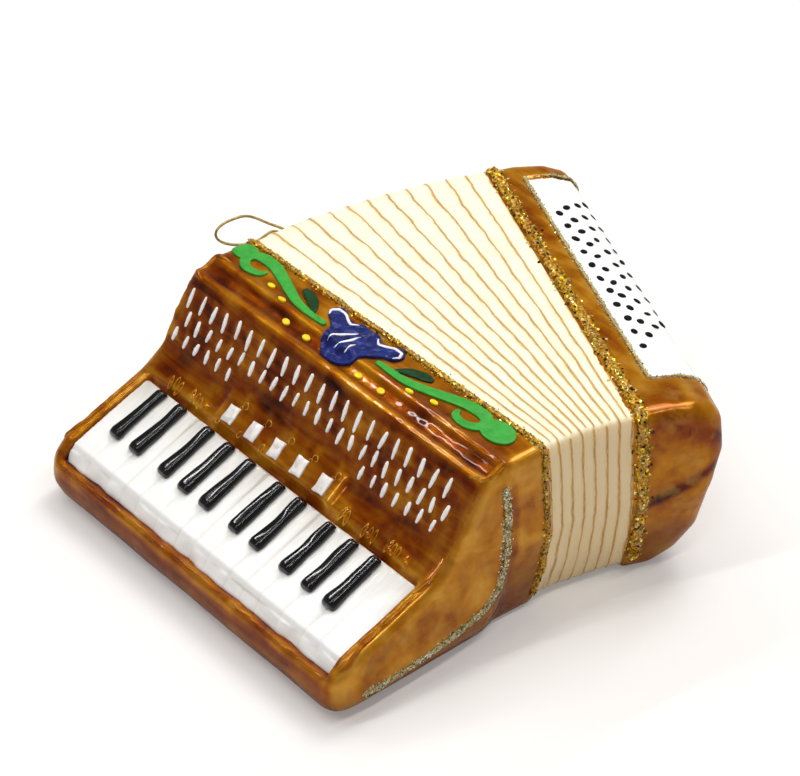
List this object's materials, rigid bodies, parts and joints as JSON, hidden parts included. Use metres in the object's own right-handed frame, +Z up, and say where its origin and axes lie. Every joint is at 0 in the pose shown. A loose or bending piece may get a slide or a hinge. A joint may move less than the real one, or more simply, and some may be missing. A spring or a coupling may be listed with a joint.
{
  "type": "accordion-shaped glass ornament",
  "caption": "Hollow blown-glass hanging ornament shaped as an open piano accordion, with enamel keyboard and bellows, a painted vine, a metal neck cap and a wire hanging loop.",
  "frame": {"origin": "centre of the bounding box in plan, on the flat surface the ornament lies on", "axes": "+Z up, away from that surface; +X from the keyboard side to the bass side; +Y along the keyboard towards the hanger"},
  "size_m": [0.1206, 0.1248, 0.0414],
  "materials": {
    "amber_glass": "gloss amber lacquer over silvered glass",
    "silver_coat": "silvered",
    "white_enamel": "satin white enamel",
    "black_enamel": "gloss black enamel",
    "tab_enamel": "gloss white enamel",
    "cream_enamel": "satin cream enamel with brown fold lines",
    "panel_enamel": "satin white enamel with black dots",
    "gold_glitter": "coarse gold glitter",
    "pale_glitter": "fine pale gold glitter",
    "leaf_green_paint": "semi-gloss",
    "dark_green_paint": "semi-gloss",
    "blue_paint": "semi-gloss",
    "yellow_paint": "semi-gloss",
    "brass_sheet": "pressed sheet",
    "brass_wire": "drawn wire"
  },
  "bodies": {
    "ornament": {"glass_body": "amber_glass", "silver_lining": "silver_coat", "white_keys": "white_enamel", "black_key_01": "black_enamel", "black_key_02": "black_enamel", "black_key_03": "black_enamel", "black_key_04": "black_enamel", "black_key_05": "black_enamel", "black_key_06": "black_enamel", "black_key_07": "black_enamel", "black_key_08": "black_enamel", "black_key_09": "black_enamel", "black_key_10": "black_enamel", "register_tab_1": "tab_enamel", "register_tab_2": "tab_enamel", "register_tab_3": "tab_enamel", "register_tab_4": "tab_enamel", "register_tab_5": "tab_enamel", "bellows_enamel": "cream_enamel", "bass_panel": "panel_enamel", "treble_joint_glitter": "gold_glitter", "bass_joint_glitter": "gold_glitter", "panel_border_glitter": "pale_glitter", "near_cheek_glitter": "pale_glitter", "far_cheek_glitter": "pale_glitter", "vine_far": "leaf_green_paint", "vine_near": "leaf_green_paint", "leaf_far": "dark_green_paint", "leaf_near": "dark_green_paint", "flower": "blue_paint", "yellow_dot_1": "yellow_paint", "yellow_dot_2": "yellow_paint", "yellow_dot_3": "yellow_paint", "yellow_dot_4": "yellow_paint", "yellow_dot_5": "yellow_paint", "yellow_dot_6": "yellow_paint", "yellow_dot_7": "yellow_paint", "yellow_dot_8": "yellow_paint"},
    "cap": {"hanger_cap": "brass_sheet"},
    "hanger": {"hanger_wire": "brass_wire"}
  },
  "joints": [
    {"name": "cap_turn", "type": "hinge", "parent": "ornament", "child": "cap", "pos_m": [0.00933, 0.03667, 0.021], "axis": [0.1271, 0.9919, 0], "continuous": true},
    {"name": "hanger_pull", "type": "slide", "parent": "cap", "child": "hanger", "axis": [0.1271, 0.9919, 0], "range_m": [0, 0.002]}
  ]
}
